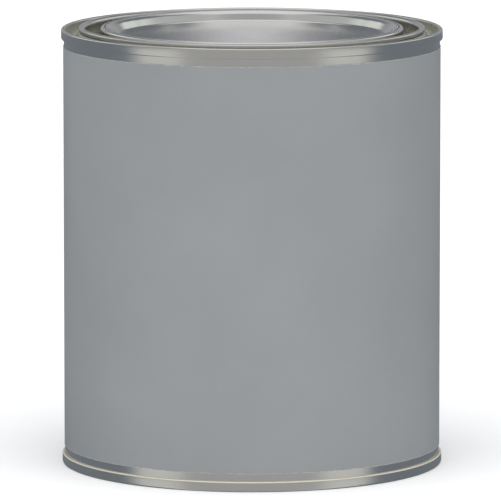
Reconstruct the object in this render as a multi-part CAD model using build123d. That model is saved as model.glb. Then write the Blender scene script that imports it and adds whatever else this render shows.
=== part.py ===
from build123d import *
import os

# Quart paint can in tinplate: a tube with a seamed bottom, a seamed ring and a lid whose
# channel plugs into the ring's groove. Millimetres. The origin is the centre of the base, on
# the surface that the can stands on; +Z is up and the label's overlap is at the back, +Y.

# ---- Driving dimensions ----------------------------------------------------------------

CAN_DIAMETER = 107.95       # over the double seams, 4 1/4 in
CAN_HEIGHT = 123.8          # over the double seams, 4 7/8 in

BODY_SHEET = 0.22           # thickness of each sheet
END_SHEET = 0.23
LID_SHEET = 0.24
PAPER = 0.15

# Double seam. Depths are counted from the seam's crest towards the middle of the can.
SEAM_LENGTH = 2.85
LAYER_GAP = 0.03            # sealing film between two pressed layers
CREST_BEND = 0.40           # bends are centreline radii throughout
HOOK_BEND = 0.22
END_HOOK_TIP = 0.95
BODY_HOOK_TIP = 2.30
CREST_ROOM = 0.16           # over the body's hook, filled by the compound
COMPOUND = 0.11             # thickness of the compound, an arch over the hook
ARCH_WIDTHS = (0.34, 0.64)  # the arch's crown and its feet
ARCH_DEPTHS = (0.315, 0.46)

# Lid. Heights are counted from the upper seam's crest, to the upper, visible faces.
CURL_TOP = 0.60
CURL_HEIGHT = 1.43
CURL_OUTSIDE = 49.03
CURL_BEND = 0.58
CURL_INNER_BEND = 1.00
CURL_TIP = 48.10
CHANNEL_OUTSIDE = 47.15
CHANNEL_INSIDE = 42.90
CHANNEL_FLOOR = -5.60
CHANNEL_BEND = 1.10
BEAD_TOP = 0.45
BEAD_INSIDE = 40.23         # sharp corner of the bead's top and the slope to the panel
BEAD_OUTER_BEND = 0.70
BEAD_INNER_BEND = 2.00
PANEL_TOP = -2.20
PANEL_EDGE = 38.30          # foot of that slope
PANEL_BEND = 0.90

# Ring that the lid plugs into.
PLUG_CLEARANCE = 0.06       # running fit on both walls of the channel
REST_GAP = 0.05             # under the lid, where it rests on the ring
GROOVE_CLEARANCE = 0.30     # under the lid's channel
RING_FLOOR = -2.75          # pry gap beside the lid's curl
SHOULDER_FOOT = 50.10
SHOULDER_EDGE = 49.00
SHOULDER_BEND = 0.45
GROOVE_BEND = 1.10
MOUTH_RADIUS = 40.15        # opening inside the roll, which the lid's bead rests on
ROLL_HEIGHT = 2.30
ROLL_BEND = 0.95
ROLL_TIP_INSET = 0.70
ROLL_TIP_RISE = 0.90

# Bottom end, pressed one step down and a smaller step back. Heights are from the base.
BOTTOM_RECESS = 3.30
RECESS_BEND = 0.50
STEP_RADII = (46.60, 34.40)
STEP_HEIGHTS = (-0.90, 0.60)
STEP_RUN = 1.00
STEP_BEND = 0.60

# Paper label, wrapped once and glued on its own end at the back.
LABEL_MARGIN = 5.00         # from the label's edge to the seam's crest
GLUE_LINE = 0.05            # between the body and the paper, and between the two ends
FILM_CLEARANCE = 0.005
LAP_ANGLE = 11.0
RAMP_ANGLE = 3.5
FILM_INSET_ANGLE = 0.5
BACK_ANGLE = 90.0

# ---- Centreline radii of the five pressed layers of a seam, from the outside in ---------

LAYER_STEP = (END_SHEET + BODY_SHEET) / 2 + LAYER_GAP
OUTER_WALL = (CAN_DIAMETER - END_SHEET) / 2
BODY_HOOK = OUTER_WALL - LAYER_STEP
END_HOOK = BODY_HOOK - LAYER_STEP
BODY_WALL = END_HOOK - LAYER_STEP
CHUCK_WALL = BODY_WALL - LAYER_STEP
HOOK_CREST = END_SHEET + CREST_ROOM + BODY_SHEET / 2

CURL_BOTTOM = CURL_TOP - CURL_HEIGHT
LABEL_RADIUS = BODY_WALL + BODY_SHEET / 2 + GLUE_LINE + PAPER / 2
LAP_START = BACK_ANGLE - LAP_ANGLE / 2


def sheet_of_revolution(points, bends, thickness):
    """A sheet of constant thickness that follows (radius, height) runs with rounded bends."""
    path = FilletPolyline(*points, radius=bends)
    section = Plane.XZ * trace(path, thickness)
    return revolve(section, Axis.Z)


def from_top(points):
    """Turn (radius, depth under the upper crest) into (radius, height)."""
    return [(radius, CAN_HEIGHT - depth) for radius, depth in points]


def seam_edge():
    """An end's rolled edge as (radius, depth) runs and their bends, from the hook's tip to the crest."""
    hook_foot = SEAM_LENGTH - END_SHEET / 2
    crest = END_SHEET / 2
    points = [
        (END_HOOK, END_HOOK_TIP),
        (END_HOOK, hook_foot),
        (OUTER_WALL, hook_foot),
        (OUTER_WALL, crest),
        (CHUCK_WALL, crest),
    ]
    return points, [HOOK_BEND, HOOK_BEND, CREST_BEND, CREST_BEND]


def make_can_body():
    """The tube, with each end flanged out and rolled down into its seam."""
    lower_hook = [(BODY_HOOK, BODY_HOOK_TIP), (BODY_HOOK, HOOK_CREST), (BODY_WALL, HOOK_CREST)]
    upper_hook = from_top(lower_hook[::-1])
    return sheet_of_revolution(lower_hook + upper_hook, HOOK_BEND, BODY_SHEET)


def make_bottom_end():
    """The recessed bottom that closes the tube's lower seam."""
    points, bends = seam_edge()
    height = BOTTOM_RECESS + END_SHEET / 2
    points.append((CHUCK_WALL, height))
    bends.append(RECESS_BEND)
    for radius, rise in zip(STEP_RADII, STEP_HEIGHTS):
        points.append((radius, height))
        height += rise
        points.append((radius - STEP_RUN, height))
        bends += [STEP_BEND, STEP_BEND]
    points.append((0, height))
    return sheet_of_revolution(points, bends, END_SHEET)


def make_top_ring():
    """The ring: seam, pry gap, shoulder under the lid's curl, friction groove and inner roll."""
    half = END_SHEET / 2
    beside_lid = LID_SHEET + PLUG_CLEARANCE + half
    groove_outside = CHANNEL_OUTSIDE + beside_lid
    groove_inside = CHANNEL_INSIDE - beside_lid
    mouth = MOUTH_RADIUS + half
    roll_tip = groove_inside - ROLL_TIP_INSET

    floor = CAN_HEIGHT + RING_FLOOR - half
    shoulder = CAN_HEIGHT + CURL_BOTTOM - REST_GAP - half
    groove_floor = CAN_HEIGHT + CHANNEL_FLOOR - LID_SHEET - GROOVE_CLEARANCE - half
    roll_top = CAN_HEIGHT + BEAD_TOP - LID_SHEET - REST_GAP - half
    roll_bottom = roll_top - ROLL_HEIGHT

    edge, bends = seam_edge()
    points = from_top(edge) + [
        (CHUCK_WALL, floor),
        (SHOULDER_FOOT, floor),
        (SHOULDER_EDGE, shoulder),
        (groove_outside, shoulder),
        (groove_outside, groove_floor),
        (groove_inside, groove_floor),
        (groove_inside, roll_top),
        (mouth, roll_top),
        (mouth, roll_bottom),
        (roll_tip, roll_bottom),
        (roll_tip, roll_bottom + ROLL_TIP_RISE),
    ]
    bends += [SHOULDER_BEND] * 4 + [GROOVE_BEND] * 2 + [ROLL_BEND] * 3 + [SHOULDER_BEND]
    return sheet_of_revolution(points, bends, END_SHEET)


def make_lid():
    """The plug lid: outer curl, channel, bead over the ring's roll and recessed panel."""
    half = LID_SHEET / 2
    curl_bottom = CAN_HEIGHT + CURL_BOTTOM + half
    curl_top = CAN_HEIGHT + CURL_TOP - half
    channel_floor = CAN_HEIGHT + CHANNEL_FLOOR - half
    bead = CAN_HEIGHT + BEAD_TOP - half
    panel = CAN_HEIGHT + PANEL_TOP - half
    points = [
        (CURL_TIP, curl_bottom),
        (CURL_OUTSIDE - half, curl_bottom),
        (CURL_OUTSIDE - half, curl_top),
        (CHANNEL_OUTSIDE + half, curl_top),
        (CHANNEL_OUTSIDE + half, channel_floor),
        (CHANNEL_INSIDE - half, channel_floor),
        (CHANNEL_INSIDE - half, bead),
        (BEAD_INSIDE + half, bead),
        (PANEL_EDGE + half, panel),
        (0, panel),
    ]
    bends = [CURL_BEND, CURL_BEND, CURL_INNER_BEND, CHANNEL_BEND, CHANNEL_BEND]
    bends += [BEAD_OUTER_BEND, BEAD_INNER_BEND, PANEL_BEND]
    return sheet_of_revolution(points, bends, LID_SHEET)


def make_bottom_compound():
    """The ring of sealing compound between the lower seam's crest and the body's hook."""
    crown, feet = zip(ARCH_WIDTHS, ARCH_DEPTHS)
    arch = [(END_HOOK + side * width / 2, depth)
            for side, (width, depth) in ((-1, feet), (-1, crown), (1, crown), (1, feet))]
    return sheet_of_revolution(arch, 0, COMPOUND)


def make_top_compound():
    """The same ring of compound, turned over into the upper seam."""
    return Pos(0, 0, CAN_HEIGHT) * mirror(make_bottom_compound(), Plane.XY)


def stand_on_margin(section, height):
    """Extrude a section of the label upwards from its lower edge."""
    return Pos(0, 0, LABEL_MARGIN) * extrude(section, height)


def make_label():
    """One turn of paper that climbs over its own end at the back."""
    under = CenterArc((0, 0), LABEL_RADIUS, LAP_START, 360 - RAMP_ANGLE)
    over = CenterArc((0, 0), LABEL_RADIUS + PAPER + GLUE_LINE, LAP_START, LAP_ANGLE)
    ramp = Line(under @ 1, over @ 0)
    return stand_on_margin(trace([under, ramp, over], PAPER), CAN_HEIGHT - 2 * LABEL_MARGIN)


def make_label_glue():
    """The film of glue between the label's two ends."""
    radius = LABEL_RADIUS + (PAPER + GLUE_LINE) / 2
    film = CenterArc((0, 0), radius, LAP_START + FILM_INSET_ANGLE, LAP_ANGLE - 2 * FILM_INSET_ANGLE)
    return stand_on_margin(trace(film, GLUE_LINE - 2 * FILM_CLEARANCE), CAN_HEIGHT - 2 * LABEL_MARGIN)


MAKERS = {
    "can_body": make_can_body,
    "bottom_end": make_bottom_end,
    "top_ring": make_top_ring,
    "lid": make_lid,
    "bottom_seam_compound": make_bottom_compound,
    "top_seam_compound": make_top_compound,
    "label": make_label,
    "label_glue": make_label_glue,
}

os.makedirs("parts", exist_ok=True)
for node, make in MAKERS.items():
    export_step(make(), f"parts/{node}.step")
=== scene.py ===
import math
from collections import namedtuple

import bpy
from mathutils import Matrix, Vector


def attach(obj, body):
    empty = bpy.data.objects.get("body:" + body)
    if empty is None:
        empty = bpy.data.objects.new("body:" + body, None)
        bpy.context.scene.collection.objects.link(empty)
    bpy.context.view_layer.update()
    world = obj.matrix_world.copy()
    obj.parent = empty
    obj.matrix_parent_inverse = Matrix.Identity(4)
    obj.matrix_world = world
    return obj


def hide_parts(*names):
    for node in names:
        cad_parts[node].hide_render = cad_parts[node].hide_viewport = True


# Quart paint can in tinplate. The four metal pieces are turned and the label and its glue are
# wrapped again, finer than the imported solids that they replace; the two rings of compound keep
# theirs. Metres. The origin is the centre of the base, +Z is up, and the label's overlap and the
# tube's welded seam are at the back, +Y.

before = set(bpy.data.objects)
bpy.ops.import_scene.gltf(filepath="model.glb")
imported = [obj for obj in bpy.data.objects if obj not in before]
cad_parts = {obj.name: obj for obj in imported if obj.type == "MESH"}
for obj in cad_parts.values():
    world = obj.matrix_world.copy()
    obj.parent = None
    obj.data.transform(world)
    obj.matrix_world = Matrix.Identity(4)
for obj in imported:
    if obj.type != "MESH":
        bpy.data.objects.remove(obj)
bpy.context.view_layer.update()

# ---- Dimensions of the can -------------------------------------------------------------

MM = 0.001
CAN_RADIUS = 53.975 * MM
CAN_HEIGHT = 123.8 * MM

BODY_SHEET = 0.22 * MM      # thickness of each sheet
END_SHEET = 0.23 * MM
LID_SHEET = 0.24 * MM
PAPER = 0.15 * MM

# Double seam. Depths are counted from the seam's crest towards the middle of the can.
SEAM_LENGTH = 2.85 * MM
LAYER_GAP = 0.03 * MM
CREST_BEND = 0.40 * MM      # bends are centreline radii throughout
HOOK_BEND = 0.22 * MM
END_HOOK_TIP = 0.95 * MM
BODY_HOOK_TIP = 2.30 * MM
CREST_ROOM = 0.16 * MM

# Lid. Heights are counted from the upper seam's crest, to the upper, visible faces.
CURL_TOP = 0.60 * MM
CURL_HEIGHT = 1.43 * MM
CURL_OUTSIDE = 49.03 * MM
CURL_BEND = 0.58 * MM
CURL_INNER_BEND = 1.00 * MM
CURL_TIP = 48.10 * MM
CHANNEL_OUTSIDE = 47.15 * MM
CHANNEL_INSIDE = 42.90 * MM
CHANNEL_FLOOR = -5.60 * MM
CHANNEL_BEND = 1.10 * MM
BEAD_TOP = 0.45 * MM
BEAD_INSIDE = 40.23 * MM
BEAD_OUTER_BEND = 0.70 * MM
BEAD_INNER_BEND = 2.00 * MM
PANEL_TOP = -2.20 * MM
PANEL_EDGE = 38.30 * MM
PANEL_BEND = 0.90 * MM

# Ring that the lid plugs into.
PLUG_CLEARANCE = 0.06 * MM
REST_GAP = 0.05 * MM
GROOVE_CLEARANCE = 0.30 * MM
RING_FLOOR = -2.75 * MM
SHOULDER_FOOT = 50.10 * MM
SHOULDER_EDGE = 49.00 * MM
SHOULDER_BEND = 0.45 * MM
GROOVE_BEND = 1.10 * MM
MOUTH_RADIUS = 40.15 * MM
ROLL_HEIGHT = 2.30 * MM
ROLL_BEND = 0.95 * MM
ROLL_TIP_INSET = 0.70 * MM
ROLL_TIP_RISE = 0.90 * MM

# Bottom end. Each step is its radius and its rise.
BOTTOM_RECESS = 3.30 * MM
RECESS_BEND = 0.50 * MM
STEPS = ((46.60 * MM, -0.90 * MM), (34.40 * MM, 0.60 * MM))
STEP_RUN = 1.00 * MM
STEP_BEND = 0.60 * MM

# Paper label and the film of glue in its overlap.
LABEL_MARGIN = 5.00 * MM    # from the label's edge to the seam's crest
GLUE_LINE = 0.05 * MM
FILM_CLEARANCE = 0.005 * MM
LAP_ANGLE = math.radians(11.0)
RAMP_ANGLE = math.radians(3.5)
FILM_INSET = math.radians(0.5)
BACK = math.radians(90.0)
CORE_BAND = 0.35 * MM       # width of the label's bare, ragged edge

# Welded seam of the tube, and the painted shade, a darker olive tone, in the lid's channel and beside
# its curl.
WELD_HALF_ANGLE = math.radians(0.75)
WELD_RISE = 0.03 * MM       # the weld's bead stays under the label's glue line
WELD_NUGGET = 1.0 * MM
WELD_RIPPLE = 0.15          # part of the rise that comes and goes with each nugget
WELD_STRIPE = 1.1 * MM      # half the width of the heat-tinted stripe
GROOVE_SHADE_TOP = 0.25 * MM   # the painted shade fades in between these heights, from the seam's crest
GROOVE_SHADE_FULL = -0.40 * MM

# ---- Centreline radii of the five pressed layers of a seam, from the outside in ---------

LAYER_STEP = (END_SHEET + BODY_SHEET) / 2 + LAYER_GAP
OUTER_WALL = CAN_RADIUS - END_SHEET / 2
BODY_HOOK = OUTER_WALL - LAYER_STEP
END_HOOK = BODY_HOOK - LAYER_STEP
BODY_WALL = END_HOOK - LAYER_STEP
CHUCK_WALL = BODY_WALL - LAYER_STEP
HOOK_CREST = END_SHEET + CREST_ROOM + BODY_SHEET / 2

CURL_BOTTOM = CURL_TOP - CURL_HEIGHT
LABEL_RADIUS = BODY_WALL + BODY_SHEET / 2 + GLUE_LINE + PAPER / 2
LAP_START = BACK - LAP_ANGLE / 2

# ---- Mesh making -----------------------------------------------------------------------

TURN = 2 * math.pi
SEGMENTS = 288              # steps round the can
BEND_STEPS = 7
LONGEST_RUN = 4.0 * MM      # of one face along a section
WELD_STEPS = 4              # finer steps on each side of the weld's middle
CLEAR_OF_WELD = WELD_HALF_ANGLE * 1.2
LABEL_ROWS = 24
FILM_ROWS = 12
RAMP_STEPS = 6
LAP_STEPS = 12
FILM_STEPS = 10
CREASE_ANGLE = math.radians(35)


def bend_arc(before, corner, after, radius):
    """Centreline (point, left normal) samples of the arc that rounds a corner of a run."""
    into = (corner - before).normalized()
    out = (after - corner).normalized()
    turn = into.angle_signed(out)          # clockwise positive
    setback = radius * math.tan(abs(turn) / 2)
    side = -1 if turn > 0 else 1           # of the run that the arc's centre lies on, 1 for left
    left = Vector((-into.y, into.x))
    centre = corner - into * setback + left * radius * side
    samples = []
    for step in range(BEND_STEPS + 1):
        angle = -turn * step / BEND_STEPS
        cosine, sine = math.cos(angle), math.sin(angle)
        normal = Vector((left.x * cosine - left.y * sine, left.x * sine + left.y * cosine))
        samples.append((centre - normal * radius * side, normal))
    return samples


def sheet_section(points, bends, thickness):
    """Closed outline of a sheet of constant thickness along (radius, height) runs with bends."""
    runs = [Vector(point) for point in points]
    first = (runs[1] - runs[0]).normalized()
    last = (runs[-1] - runs[-2]).normalized()
    middle = [(runs[0], Vector((-first.y, first.x)))]
    for index, radius in enumerate(bends):
        middle += bend_arc(*runs[index:index + 3], radius)
    middle.append((runs[-1], Vector((-last.y, last.x))))
    filled = [middle[0]]
    for start, end in zip(middle, middle[1:]):
        pieces = max(1, math.ceil((end[0] - start[0]).length / LONGEST_RUN))
        for step in range(1, pieces):
            filled.append((start[0].lerp(end[0], step / pieces), end[1]))
        filled.append(end)
    half = thickness / 2
    left = [point + normal * half for point, normal in filled]
    right = [point - normal * half for point, normal in reversed(filled)]
    return left + right


def turned(section, angles, shift=None):
    """Vertices and faces of a section turned about Z; shift moves a vertex's radius and height."""
    axis_gap = 1e-7                        # anything nearer is a point on the axis
    vertices, faces, rings = [], [], []
    for radius, height in section:
        if radius < axis_gap:
            rings.append([len(vertices)] * len(angles))
            vertices.append((0, 0, height))
            continue
        rings.append(range(len(vertices), len(vertices) + len(angles)))
        for angle in angles:
            place = shift(radius, height, angle) if shift else (radius, height)
            vertices.append((place[0] * math.cos(angle), place[0] * math.sin(angle), place[1]))
    count = len(angles)
    for ring, following in zip(rings, rings[1:] + rings[:1]):
        for step in range(count):
            ahead = (step + 1) % count
            corners = [ring[step], following[step], following[ahead], ring[ahead]]
            corners = list(dict.fromkeys(corners))
            if len(corners) > 2:
                faces.append(corners)
    return vertices, faces


def even_angles():
    """One angle for each step round the can."""
    return [TURN * step / SEGMENTS for step in range(SEGMENTS)]


def angles_with_weld():
    """Even angles, with finer ones across the welded seam at the back."""
    steps = range(-WELD_STEPS, WELD_STEPS + 1)
    weld = [BACK + WELD_HALF_ANGLE * step / WELD_STEPS for step in steps]
    clear = [angle for angle in even_angles() if abs(angle - BACK) > CLEAR_OF_WELD]
    return sorted(clear + weld)


def weld_shift(radius, height, angle):
    """The narrow raised bead of the weld, on the tube's outer face."""
    across = abs(angle - BACK) / WELD_HALF_ANGLE
    if across >= 1 or radius < BODY_WALL or radius > BODY_WALL + BODY_SHEET:
        return radius, height
    ripple = 1 - WELD_RIPPLE + WELD_RIPPLE * math.sin(height / WELD_NUGGET * TURN)
    rise = WELD_RISE * (1 + math.cos(math.pi * across)) / 2
    return radius + rise * ripple, height


def wrapped_strip(stations, thickness, low, high, rows):
    """Vertices and faces of a strip along (angle, radius) stations, standing from low to high."""
    vertices, faces = [], []
    heights = [low + (high - low) * row / rows for row in range(rows + 1)]
    corners_per_station = 2 * len(heights)
    for angle, radius in stations:
        outer = (radius + thickness / 2, heights)
        inner = (radius - thickness / 2, heights[::-1])
        for face_radius, face_heights in (outer, inner):
            x, y = face_radius * math.cos(angle), face_radius * math.sin(angle)
            vertices += [(x, y, z) for z in face_heights]
    for station in range(len(stations) - 1):
        base = station * corners_per_station
        ahead = base + corners_per_station
        for corner in range(corners_per_station):
            following = (corner + 1) % corners_per_station
            faces.append([base + corner, ahead + corner, ahead + following, base + following])
    start_cap = list(range(corners_per_station))
    last = (len(stations) - 1) * corners_per_station
    end_cap = [last + corner for corner in reversed(start_cap)]
    return vertices, faces + [start_cap, end_cap]


def wear(piece, material):
    """Give a piece one material, in the place of any other."""
    piece.data.materials.clear()
    piece.data.materials.append(material)


def new_piece(name, shape, body, slot, material, *replaced):
    """A smooth-shaded mesh piece that rides on a body and stands for CAD nodes."""
    vertices, faces = shape
    mesh = bpy.data.meshes.new(name)
    mesh.from_pydata(vertices, [], faces)
    mesh.validate()
    mesh.shade_smooth()
    mesh.set_sharp_from_angle(angle=CREASE_ANGLE)
    piece = bpy.data.objects.new(name, mesh)
    bpy.context.scene.collection.objects.link(piece)
    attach(piece, body)
    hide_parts(*replaced)
    wear(piece, material)


# ---- Node materials --------------------------------------------------------------------


class Shader:
    """Short forms for building one node material."""

    def __init__(self, name):
        self.material = bpy.data.materials.new(name)
        self.material.use_nodes = True
        self.nodes = self.material.node_tree.nodes
        self.links = self.material.node_tree.links
        self.surface = self.nodes["Principled BSDF"]
        coordinates = self.node("ShaderNodeTexCoord").outputs
        self.place = coordinates["Object"]
        self.facing = coordinates["Normal"]

    def node(self, kind, **inputs):
        made = self.nodes.new(kind)
        for name, value in inputs.items():
            self.put(made, name, value)
        return made

    def put(self, node, name, value):
        """Link or set an input, by its name or its number."""
        socket = node.inputs[name.replace("_", " ")] if isinstance(name, str) else node.inputs[name]
        if isinstance(value, bpy.types.NodeSocket):
            self.links.new(value, socket)
        else:
            socket.default_value = value

    def stretched(self, scale):
        """Object coordinates scaled along each axis, for grain that runs one way."""
        mapping = self.node("ShaderNodeMapping", Vector=self.place, Scale=scale)
        return mapping.outputs["Vector"]

    def noise(self, vector, scale, detail=3.0, roughness=0.55):
        made = self.node("ShaderNodeTexNoise", Vector=vector, Scale=scale, Detail=detail,
                         Roughness=roughness)
        return made.outputs["Fac"]

    def mottle(self):
        """Fine blotches, which stain the tin and make the edge of the weld's stripe ragged."""
        return self.noise(self.place, MOTTLE_SCALE, 3.0, 0.65)

    def ramp(self, value, low, high, to_low=0.0, to_high=1.0):
        made = self.node("ShaderNodeMapRange", Value=value, From_Min=low, From_Max=high,
                         To_Min=to_low, To_Max=to_high)
        return made.outputs["Result"]

    def math(self, operation, first, second=0.0):
        made = self.nodes.new("ShaderNodeMath")
        made.operation = operation
        self.put(made, 0, first)
        self.put(made, 1, second)
        return made.outputs[0]

    def mix(self, factor, first, second):
        made = self.nodes.new("ShaderNodeMix")
        made.data_type = "RGBA"
        self.put(made, 0, factor)
        self.put(made, 6, first)
        self.put(made, 7, second)
        return made.outputs[2]

    def part(self, vector, axis):
        """One of a vector's three coordinates."""
        return self.node("ShaderNodeSeparateXYZ", Vector=vector).outputs[axis]

    def height(self):
        return self.part(self.place, "Z")

    def radius(self):
        """Distance from the can's axis."""
        along = [self.part(self.place, axis) for axis in "XY"]
        squares = [self.math("MULTIPLY", distance, distance) for distance in along]
        return self.math("SQRT", self.math("ADD", *squares))

    def bump(self, height, distance, normal=None):
        made = self.node("ShaderNodeBump", Height=height, Distance=distance)
        if normal is not None:
            self.put(made, "Normal", normal)
        return made.outputs["Normal"]

    def show_through_from_behind(self):
        """Leave the back of each face clear, so that the underside shows through the floor."""
        behind = self.node("ShaderNodeNewGeometry").outputs["Backfacing"]
        clear = self.node("ShaderNodeBsdfTransparent").outputs[0]
        mixed = self.nodes.new("ShaderNodeMixShader")
        self.put(mixed, 0, behind)
        self.put(mixed, 1, self.surface.outputs[0])
        self.put(mixed, 2, clear)
        self.put(self.nodes["Material Output"], "Surface", mixed.outputs[0])


def rgb(red, green, blue):
    return (red, green, blue, 1.0)


# ---- Places on the can where a treatment of the tin lies, each 1 there and 0 elsewhere ---


def painted_shade_in_groove(shader):
    """Down in the lid's channel and in the gap beside its curl, where shade is painted."""
    radius = shader.radius()
    outside_bead = shader.ramp(radius, CHANNEL_INSIDE - LID_SHEET, CHANNEL_INSIDE)
    inside_seam = shader.ramp(radius, CHUCK_WALL + END_SHEET, CHUCK_WALL)
    depth = shader.ramp(shader.height(), CAN_HEIGHT + GROOVE_SHADE_TOP, CAN_HEIGHT + GROOVE_SHADE_FULL)
    inside = shader.math("MULTIPLY", outside_bead, inside_seam)
    return shader.math("MULTIPLY", inside, depth)


def on_the_curl(shader):
    """The lid's curl, which rubs on other cans and on the opener."""
    return shader.ramp(shader.radius(), CHANNEL_OUTSIDE - LID_SHEET, CHANNEL_OUTSIDE + LID_SHEET)


def inside_the_tube(shader):
    """The inner face of the tube."""
    return shader.ramp(shader.radius(), BODY_WALL, BODY_WALL - BODY_SHEET / 4)


def over_the_bottom(shader):
    """The upper face of the bottom end."""
    upwards = shader.part(shader.facing, "Z")
    above = shader.ramp(shader.height(), BOTTOM_RECESS / 3, BOTTOM_RECESS / 2)
    return shader.math("MULTIPLY", shader.ramp(upwards, 0.1, 0.2), above)


def on_the_weld(shader):
    """The stripe along the tube's welded seam, with a ragged edge."""
    across = shader.math("ABSOLUTE", shader.part(shader.place, "X"))
    ragged = shader.math("MULTIPLY", shader.mottle(), WELD_STRIPE)
    distance = shader.math("ADD", across, ragged)
    stripe = shader.ramp(distance, WELD_STRIPE * 1.6, WELD_STRIPE * 0.9)
    at_the_back = shader.ramp(shader.part(shader.place, "Y"), 0.0, BODY_SHEET)
    return shader.math("MULTIPLY", stripe, at_the_back)


# A treatment is where it lies, how much of its colour covers the tin, that colour, what it adds
# to the roughness and how much of the metal's own reflection it leaves.
Treatment = namedtuple("Treatment", "mask strength colour added_roughness metal_left")

# Painted shade: a darker olive tone in the recessed channel and gap, strongest deep down.
GROOVE_PAINTED_SHADE = Treatment(painted_shade_in_groove, 0.85, rgb(0.655, 0.64, 0.55), 0.09, 1.0)
RUBS = Treatment(on_the_curl, 1.0, rgb(0.71, 0.70, 0.67), 0.08, 1.0)
HEAT_TINT = Treatment(on_the_weld, 0.8, rgb(0.33, 0.31, 0.30), 0.12, 0.9)
TUBE_LACQUER = Treatment(inside_the_tube, 0.9, rgb(0.72, 0.67, 0.54), 0.16, 0.35)
BOTTOM_LACQUER = TUBE_LACQUER._replace(mask=over_the_bottom)

# ---- Materials -------------------------------------------------------------------------

# The scale of a noise is in features per metre, with one for each axis where it has a grain.
TIN_STAIN = rgb(0.66, 0.65, 0.61)
CLOUD_SCALE = 45.0
MOTTLE_SCALE = 420.0
WAVE_SCALE = 70.0
WAVE_DEPTH = 0.02 * MM
GRAIN_SCALES = (2600.0, 60.0, 900.0)
GRAIN_DEPTH = 0.004 * MM
RUB_SCALES = (160.0, 2600.0, 1900.0)

PAPER_DARK = rgb(0.262, 0.277, 0.283)
PAPER_LIGHT = rgb(0.285, 0.301, 0.307)
PAPER_FIBRE = rgb(0.38, 0.39, 0.39)
PAPER_PORE = rgb(0.22, 0.235, 0.24)
PAPER_CORE = rgb(0.62, 0.61, 0.58)
PAPER_SHINE = 0.38
BLOTCH_SCALE = 28.0
COCKLE_SCALES = (38.0, 38.0, 16.0)
COCKLE_DEPTH = 0.10 * MM
FIBRE_SCALES = (900.0, 900.0, 2400.0)
FIBRE_DEPTH = 0.012 * MM
TOOTH_SCALE = 5200.0
TOOTH_DEPTH = 0.004 * MM

LUMP_SCALE = 900.0
LUMP_DEPTH = 0.02 * MM


def tinplate(name, bright, shade, roughness, *treatments):
    """Tin-coated steel: rolling grain, a slow waviness, fine rubs and a cloudy tone."""
    shader = Shader(name)
    cloud = shader.noise(shader.place, CLOUD_SCALE, 4.0)
    mottle = shader.mottle()
    grain = shader.noise(shader.stretched(GRAIN_SCALES), 1.0, 2.0)
    wave = shader.noise(shader.place, WAVE_SCALE, 1.0)
    rub = shader.noise(shader.stretched(RUB_SCALES), 1.0, 3.0, 0.7)
    tone = shader.mix(shader.ramp(cloud, 0.3, 0.7), shade, bright)
    tone = shader.mix(shader.ramp(mottle, 0.55, 0.80, 0.0, 0.10), tone, TIN_STAIN)
    rough = shader.ramp(cloud, 0.25, 0.75, roughness * 0.85, roughness * 1.2)
    rough = shader.math("ADD", rough, shader.math("MULTIPLY", shader.ramp(rub, 0.60, 0.80), 0.06))
    rough = shader.math("ADD", rough, shader.ramp(mottle, 0.4, 0.8, 0.0, 0.02))
    metal = shader.ramp(mottle, 0.5, 0.9, 1.0, 0.97)
    for treatment in treatments:
        covered = treatment.mask(shader)
        colour_share = shader.math("MULTIPLY", covered, treatment.strength)
        more_rough = shader.math("MULTIPLY", covered, treatment.added_roughness)
        metal_share = shader.ramp(covered, 0.0, 1.0, 1.0, treatment.metal_left)
        tone = shader.mix(colour_share, tone, treatment.colour)
        rough = shader.math("ADD", rough, more_rough)
        metal = shader.math("MULTIPLY", metal, metal_share)
    relief = shader.bump(wave, WAVE_DEPTH)
    relief = shader.bump(grain, GRAIN_DEPTH, relief)
    shader.put(shader.surface, "Base Color", tone)
    shader.put(shader.surface, "Metallic", metal)
    shader.put(shader.surface, "Roughness", rough)
    shader.put(shader.surface, "Normal", relief)
    return shader.material


def body_tin():
    """The tube's sheet, lacquered inside and heat-tinted along its weld."""
    return tinplate("body_tin", rgb(0.785, 0.78, 0.75), rgb(0.75, 0.745, 0.71), 0.19,
                    TUBE_LACQUER, HEAT_TINT)


def bottom_tin():
    """The bottom end's sheet, lacquered inside."""
    return tinplate("bottom_tin", rgb(0.78, 0.775, 0.74), rgb(0.745, 0.74, 0.70), 0.20,
                    BOTTOM_LACQUER)


def ring_tin():
    """The ring's sheet, with painted shade in its groove."""
    return tinplate("ring_tin", rgb(0.78, 0.775, 0.74), rgb(0.745, 0.74, 0.70), 0.17, GROOVE_PAINTED_SHADE)


def lid_tin():
    """The lid's brighter sheet, with painted shade in its channel and a rubbed curl."""
    return tinplate("lid_tin", rgb(0.785, 0.78, 0.75), rgb(0.76, 0.755, 0.72), 0.13,
                    GROOVE_PAINTED_SHADE, RUBS)


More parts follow.
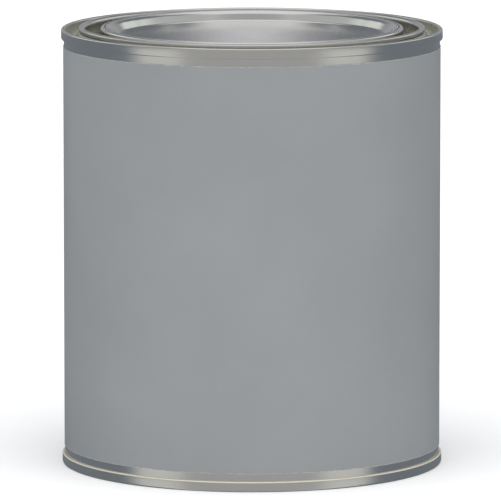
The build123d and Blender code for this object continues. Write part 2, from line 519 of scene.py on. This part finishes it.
def label_paper():
    """Plain grey coated paper: satin varnish, faint fibres, and a pale core at the cut edges."""
    shader = Shader("label_paper")
    fibre = shader.noise(shader.stretched(FIBRE_SCALES), 1.0, 4.0)
    blotch = shader.noise(shader.place, BLOTCH_SCALE, 3.0)
    cockle = shader.noise(shader.stretched(COCKLE_SCALES), 1.0, 2.0)
    tooth = shader.noise(shader.place, TOOTH_SCALE, 2.0)
    ragged = shader.math("MULTIPLY", shader.ramp(fibre, 0.35, 0.70), CORE_BAND)
    from_middle = shader.math("ABSOLUTE", shader.math("SUBTRACT", shader.height(), CAN_HEIGHT / 2))
    edge = CAN_HEIGHT / 2 - LABEL_MARGIN
    core = shader.ramp(shader.math("ADD", from_middle, ragged),
                       edge - CORE_BAND * 0.1, edge + CORE_BAND * 0.4)
    tone = shader.mix(shader.ramp(blotch, 0.3, 0.7), PAPER_DARK, PAPER_LIGHT)
    tone = shader.mix(shader.ramp(fibre, 0.62, 0.75, 0.0, 0.22), tone, PAPER_FIBRE)
    tone = shader.mix(shader.ramp(tooth, 0.40, 0.65, 0.0, 0.10), tone, PAPER_PORE)
    tone = shader.mix(shader.math("MULTIPLY", core, 0.4), tone, PAPER_CORE)
    rough = shader.ramp(blotch, 0.3, 0.7, 0.46, 0.58)
    rough = shader.math("ADD", rough, shader.math("MULTIPLY", core, 0.3))
    relief = shader.bump(cockle, COCKLE_DEPTH)
    relief = shader.bump(fibre, FIBRE_DEPTH, relief)
    relief = shader.bump(tooth, TOOTH_DEPTH, relief)
    shader.put(shader.surface, "Base Color", tone)
    shader.put(shader.surface, "Roughness", rough)
    shader.put(shader.surface, "Specular IOR Level", PAPER_SHINE)
    shader.put(shader.surface, "Normal", relief)
    return shader.material


def lumpy(name, light, dark):
    """A dull cured compound or glue, slightly lumpy."""
    shader = Shader(name)
    lump = shader.noise(shader.place, LUMP_SCALE, 4.0)
    shader.put(shader.surface, "Base Color", shader.mix(lump, dark, light))
    shader.put(shader.surface, "Roughness", shader.ramp(lump, 0.3, 0.7, 0.45, 0.7))
    shader.put(shader.surface, "Normal", shader.bump(lump, LUMP_DEPTH))
    return shader.material


def label_glue():
    """Cured glue, a warm amber."""
    return lumpy("label_glue", rgb(0.80, 0.76, 0.62), rgb(0.66, 0.60, 0.45))


def seam_compound():
    """Dull buff rubber."""
    return lumpy("seam_compound", rgb(0.62, 0.58, 0.50), rgb(0.50, 0.46, 0.39))


# ---- Pieces ----------------------------------------------------------------------------


def from_top(points):
    """Turn (radius, depth under the upper crest) into (radius, height)."""
    return [(radius, CAN_HEIGHT - depth) for radius, depth in points]


def seam_edge():
    """An end's rolled edge as (radius, depth) runs and bends, from the hook's tip to the crest."""
    hook_foot = SEAM_LENGTH - END_SHEET / 2
    crest = END_SHEET / 2
    points = [
        (END_HOOK, END_HOOK_TIP),
        (END_HOOK, hook_foot),
        (OUTER_WALL, hook_foot),
        (OUTER_WALL, crest),
        (CHUCK_WALL, crest),
    ]
    return points, [HOOK_BEND, HOOK_BEND, CREST_BEND, CREST_BEND]


def make_can_body():
    """The tube, with each end flanged out and rolled down into its seam."""
    lower_hook = [(BODY_HOOK, BODY_HOOK_TIP), (BODY_HOOK, HOOK_CREST), (BODY_WALL, HOOK_CREST)]
    points = lower_hook + from_top(lower_hook[::-1])
    section = sheet_section(points, [HOOK_BEND] * (len(points) - 2), BODY_SHEET)
    shape = turned(section, angles_with_weld(), weld_shift)
    new_piece("can_body_shell", shape, "can", "tinplate", body_tin(), "can_body")


def make_bottom_end():
    """The recessed bottom that closes the tube's lower seam."""
    points, bends = seam_edge()
    height = BOTTOM_RECESS + END_SHEET / 2
    points.append((CHUCK_WALL, height))
    bends.append(RECESS_BEND)
    for radius, rise in STEPS:
        points.append((radius, height))
        height += rise
        points.append((radius - STEP_RUN, height))
        bends += [STEP_BEND, STEP_BEND]
    points.append((0, height))
    shape = turned(sheet_section(points, bends, END_SHEET), even_angles())
    new_piece("bottom_end_shell", shape, "can", "end_tinplate", bottom_tin(), "bottom_end")


def make_top_ring():
    """The ring: seam, pry gap, shoulder under the lid's curl, friction groove and inner roll."""
    half = END_SHEET / 2
    beside_lid = LID_SHEET + PLUG_CLEARANCE + half
    groove_outside = CHANNEL_OUTSIDE + beside_lid
    groove_inside = CHANNEL_INSIDE - beside_lid
    mouth = MOUTH_RADIUS + half
    roll_tip = groove_inside - ROLL_TIP_INSET

    floor = CAN_HEIGHT + RING_FLOOR - half
    shoulder = CAN_HEIGHT + CURL_BOTTOM - REST_GAP - half
    groove_floor = CAN_HEIGHT + CHANNEL_FLOOR - LID_SHEET - GROOVE_CLEARANCE - half
    roll_top = CAN_HEIGHT + BEAD_TOP - LID_SHEET - REST_GAP - half
    roll_bottom = roll_top - ROLL_HEIGHT

    edge, bends = seam_edge()
    points = from_top(edge) + [
        (CHUCK_WALL, floor),
        (SHOULDER_FOOT, floor),
        (SHOULDER_EDGE, shoulder),
        (groove_outside, shoulder),
        (groove_outside, groove_floor),
        (groove_inside, groove_floor),
        (groove_inside, roll_top),
        (mouth, roll_top),
        (mouth, roll_bottom),
        (roll_tip, roll_bottom),
        (roll_tip, roll_bottom + ROLL_TIP_RISE),
    ]
    bends += [SHOULDER_BEND] * 4 + [GROOVE_BEND] * 2 + [ROLL_BEND] * 3 + [SHOULDER_BEND]
    shape = turned(sheet_section(points, bends, END_SHEET), even_angles())
    new_piece("top_ring_shell", shape, "can", "end_tinplate", ring_tin(), "top_ring")


def make_lid():
    """The plug lid: outer curl, channel, bead over the ring's roll and recessed panel."""
    half = LID_SHEET / 2
    curl_bottom = CAN_HEIGHT + CURL_BOTTOM + half
    curl_top = CAN_HEIGHT + CURL_TOP - half
    channel_floor = CAN_HEIGHT + CHANNEL_FLOOR - half
    bead = CAN_HEIGHT + BEAD_TOP - half
    panel = CAN_HEIGHT + PANEL_TOP - half
    points = [
        (CURL_TIP, curl_bottom),
        (CURL_OUTSIDE - half, curl_bottom),
        (CURL_OUTSIDE - half, curl_top),
        (CHANNEL_OUTSIDE + half, curl_top),
        (CHANNEL_OUTSIDE + half, channel_floor),
        (CHANNEL_INSIDE - half, channel_floor),
        (CHANNEL_INSIDE - half, bead),
        (BEAD_INSIDE + half, bead),
        (PANEL_EDGE + half, panel),
        (0, panel),
    ]
    bends = [CURL_BEND, CURL_BEND, CURL_INNER_BEND, CHANNEL_BEND, CHANNEL_BEND]
    bends += [BEAD_OUTER_BEND, BEAD_INNER_BEND, PANEL_BEND]
    shape = turned(sheet_section(points, bends, LID_SHEET), even_angles())
    new_piece("lid_shell", shape, "lid", "lid_tinplate", lid_tin(), "lid")


def label_stations():
    """(angle, radius) along the wrap: once round, up a short ramp and on over its own start."""
    outer_radius = LABEL_RADIUS + PAPER + GLUE_LINE
    wrap_angle = TURN - RAMP_ANGLE
    stations = []
    for step in range(SEGMENTS):
        stations.append((LAP_START + wrap_angle * step / SEGMENTS, LABEL_RADIUS))
    for step in range(RAMP_STEPS):
        climb = step / RAMP_STEPS
        eased = climb * climb * (3 - 2 * climb)
        radius = LABEL_RADIUS + (outer_radius - LABEL_RADIUS) * eased
        stations.append((LAP_START + wrap_angle + RAMP_ANGLE * climb, radius))
    for step in range(LAP_STEPS + 1):
        stations.append((LAP_START + TURN + LAP_ANGLE * step / LAP_STEPS, outer_radius))
    return stations


def make_label():
    """One turn of paper that climbs over its own end at the back."""
    shape = wrapped_strip(label_stations(), PAPER, LABEL_MARGIN, CAN_HEIGHT - LABEL_MARGIN, LABEL_ROWS)
    new_piece("label_wrap", shape, "can", "label_paper", label_paper(), "label")


def make_label_glue():
    """The film of glue between the label's two ends."""
    radius = LABEL_RADIUS + (PAPER + GLUE_LINE) / 2
    start = LAP_START + FILM_INSET
    width = LAP_ANGLE - 2 * FILM_INSET
    stations = [(start + width * step / FILM_STEPS, radius) for step in range(FILM_STEPS + 1)]
    thickness = GLUE_LINE - 2 * FILM_CLEARANCE
    shape = wrapped_strip(stations, thickness, LABEL_MARGIN, CAN_HEIGHT - LABEL_MARGIN, FILM_ROWS)
    new_piece("label_glue_film", shape, "can", "glue", label_glue(), "label_glue")


def colour_the_compounds():
    """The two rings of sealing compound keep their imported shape."""
    compound = seam_compound()
    for node in ("bottom_seam_compound", "top_seam_compound"):
        wear(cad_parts[node], compound)


# ---- Studio ----------------------------------------------------------------------------

CAMERA_DISTANCE = 2.0       # from the middle of the rim
CAMERA_SIDEWAYS = -0.4 * MM
CAMERA_ELEVATION = math.radians(6.3153)
CAMERA_TILT = math.radians(8.12)
CAMERA_LENS = 507.88        # in millimetres, as is the sensor's width
SENSOR_WIDTH = 36.0
CLIP_START, CLIP_END = 0.05, 20.0

FLOOR_RADIUS = 4.0
FLOOR_RINGS = 12
FLOOR_DROP = 0.02 * MM      # under the can's lowest point
FLOOR_DARK = rgb(0.86, 0.86, 0.86)
FLOOR_LIGHT = rgb(0.89, 0.89, 0.89)
FLOOR_ROUGHNESS = 0.9
SPECK_SCALE = 30.0

SUN_STRENGTH = 2.9
SUN_SPREAD = math.radians(80)
SUN_TILT = math.radians(22)

# Soft boxes of the studio, laid one over another. Azimuths run from straight behind the can (0)
# round to straight in front of it (180), on both sides, so a low limit of -90 has no edge at 0.
# Each gives azimuths, elevations, the softness of both pairs of edges, all in degrees, and the
# light's colour.
SOFT_BOXES = (
    ((-90, 34), (-2, 18), (20, 7), (0.355, 0.355, 0.38)),         # pale wall low behind the can
    ((-90, 1.50), (-12, 16), (0.30, 4), (0.075, 0.082, 0.092)),   # dark cards round the strip light
    ((116, 190), (-90, 91), (14, 1), (0.40, 0.40, 0.405)),        # the whole front of the room
    ((104, 136), (-70, -2), (8, 3), (0.62, 0.62, 0.61)),          # bright floor in front, to both sides
    ((76, 128), (46, 91), (12, 5), (0.50, 0.505, 0.52)),          # upper sides
    ((57, 112), (14, 56), (5, 5), (0.50, 0.505, 0.515)),          # under them
    ((31, 50), (10, 26), (4, 3), (0.77, 0.79, 0.76)),             # two side boxes, in three steps
    ((39, 63), (13, 32), (3, 3), (0.77, 0.79, 0.76)),             # that rise to the front
    ((50, 71), (17, 39), (5, 5), (0.77, 0.79, 0.76)),
    ((-90, 7), (20, 44), (2.5, 4), (0.76, 0.765, 0.79)),          # panel that hangs behind the can
)
STUDIO_BASE = (0.175, 0.195, 0.225)
STRIP_WIDTH = 0.33          # strip light straight behind the can, its glow fading to both sides
STRIP_ELEVATIONS = (-10, 46)
STRIP_SOFTNESS = 6
STRIP_COLOUR = (0.66, 0.66, 0.69)
# Rectangular soft box overhead. Its edges are given as parts of its height over the can.
OVERHEAD_HALF_WIDTH = 0.40
OVERHEAD_FRONT, OVERHEAD_BACK = -0.25, 1.20
OVERHEAD_SOFTNESS = 0.11
OVERHEAD_COLOUR = (0.82, 0.825, 0.85)
LEAST_HEIGHT = 0.02         # of a direction, so that a level one isn't divided by zero


def make_camera():
    """A long lens, a little above the rim, with the can nearly filling the height of the picture."""
    data = bpy.data.cameras.new("camera")
    data.sensor_width = SENSOR_WIDTH
    data.lens = CAMERA_LENS
    data.clip_start = CLIP_START
    data.clip_end = CLIP_END
    camera = bpy.data.objects.new("camera", data)
    bpy.context.scene.collection.objects.link(camera)
    back = CAMERA_DISTANCE * math.cos(CAMERA_ELEVATION)
    up = CAMERA_DISTANCE * math.sin(CAMERA_ELEVATION)
    camera.location = (CAMERA_SIDEWAYS, -back, CAN_HEIGHT + up)
    camera.rotation_euler = (math.pi / 2 - CAMERA_TILT, 0, 0)
    bpy.context.scene.camera = camera


def make_floor():
    """A plain pale disc that metal doesn't mirror and that is clear from below."""
    radii = [FLOOR_RADIUS * ring / FLOOR_RINGS for ring in range(FLOOR_RINGS + 1)]
    vertices, faces = turned([(radius, 0) for radius in radii], even_angles())
    disc_faces = faces[:SEGMENTS * FLOOR_RINGS]     # the rest go straight back from edge to centre
    mesh = bpy.data.meshes.new("floor")
    mesh.from_pydata(vertices, [], disc_faces)
    floor = bpy.data.objects.new("floor", mesh)
    bpy.context.scene.collection.objects.link(floor)
    floor.location.z = -FLOOR_DROP
    shader = Shader("floor")
    speck = shader.noise(shader.place, SPECK_SCALE, 3.0)
    shader.put(shader.surface, "Base Color", shader.mix(speck, FLOOR_DARK, FLOOR_LIGHT))
    shader.put(shader.surface, "Roughness", FLOOR_ROUGHNESS)
    shader.show_through_from_behind()
    floor.data.materials.append(shader.material)
    floor.visible_glossy = False


def make_sun():
    """Broad soft light from above the front, for the paper and the floor."""
    data = bpy.data.lights.new("overhead", "SUN")
    data.energy = SUN_STRENGTH
    data.angle = SUN_SPREAD
    sun = bpy.data.objects.new("overhead", data)
    bpy.context.scene.collection.objects.link(sun)
    sun.rotation_euler = (SUN_TILT, 0, 0)
    sun.visible_glossy = False


def make_world():
    """The studio that the metal mirrors, with a white backdrop for the camera alone."""
    world = bpy.data.worlds.new("studio")
    bpy.context.scene.world = world
    world.use_nodes = True
    tree = world.node_tree
    tree.nodes.clear()

    def node(kind, *inputs, **settings):
        made = tree.nodes.new(kind)
        for name, value in settings.items():
            setattr(made, name, value)
        for index, value in enumerate(inputs):
            if isinstance(value, bpy.types.NodeSocket):
                tree.links.new(value, made.inputs[index])
            else:
                made.inputs[index].default_value = value
        return made

    def calculate(operation, *inputs):
        return node("ShaderNodeMath", *inputs, operation=operation).outputs[0]

    def edge(value, start, end, low, high):
        return node("ShaderNodeMapRange", value, start, end, low, high,
                    interpolation_type="SMOOTHSTEP").outputs["Result"]

    def window(value, low, high, soft):
        first = edge(value, low - soft, low + soft, 0.0, 1.0)
        second = edge(value, high - soft, high + soft, 1.0, 0.0)
        return calculate("MULTIPLY", first, second)

    def over(below, colour, mask):
        mixed = node("ShaderNodeMix", data_type="RGBA")
        tree.links.new(mask, mixed.inputs[0])
        tree.links.new(below, mixed.inputs[6])
        mixed.inputs[7].default_value = rgb(*colour)
        return mixed.outputs[2]

    def with_soft_boxes(total):
        for azimuths, elevations, softness, colour in SOFT_BOXES:
            across = window(azimuth, *map(math.radians, (*azimuths, softness[0])))
            up = window(elevation, *map(math.radians, (*elevations, softness[1])))
            total = over(total, colour, calculate("MULTIPLY", across, up))
        return total

    def with_strip(total):
        widths = calculate("DIVIDE", azimuth, math.radians(STRIP_WIDTH))
        exponent = calculate("MULTIPLY", calculate("POWER", widths, 2.0), -0.5)
        up = window(elevation, *map(math.radians, (*STRIP_ELEVATIONS, STRIP_SOFTNESS)))
        return over(total, STRIP_COLOUR, calculate("MULTIPLY", calculate("EXPONENT", exponent), up))

    def with_overhead(total):
        height = calculate("MAXIMUM", axes["Z"], LEAST_HEIGHT)
        across = window(calculate("DIVIDE", axes["X"], height),
                        -OVERHEAD_HALF_WIDTH, OVERHEAD_HALF_WIDTH, OVERHEAD_SOFTNESS)
        along = window(calculate("DIVIDE", axes["Y"], height),
                       OVERHEAD_FRONT, OVERHEAD_BACK, OVERHEAD_SOFTNESS)
        return over(total, OVERHEAD_COLOUR, calculate("MULTIPLY", across, along))

    direction = node("ShaderNodeTexCoord").outputs["Generated"]
    axes = node("ShaderNodeSeparateXYZ", direction).outputs
    azimuth = calculate("ABSOLUTE", calculate("ARCTAN2", axes["X"], axes["Y"]))
    elevation = calculate("ARCSINE", axes["Z"])
    base = node("ShaderNodeCombineXYZ", *STUDIO_BASE).outputs[0]
    lit = with_overhead(with_strip(with_soft_boxes(base)))
    studio = node("ShaderNodeBackground", lit, 1.0).outputs[0]
    backdrop = node("ShaderNodeBackground", rgb(1, 1, 1), 1.0).outputs[0]
    seen = node("ShaderNodeLightPath").outputs["Is Camera Ray"]
    mixed = node("ShaderNodeMixShader", seen, studio, backdrop).outputs[0]
    node("ShaderNodeOutputWorld", mixed)


# ---- Build -----------------------------------------------------------------------------

make_can_body()
make_bottom_end()
make_top_ring()
make_lid()
make_label()
make_label_glue()
colour_the_compounds()

make_floor()
make_sun()
make_world()
make_camera()
bpy.context.scene.view_settings.view_transform = "Standard"
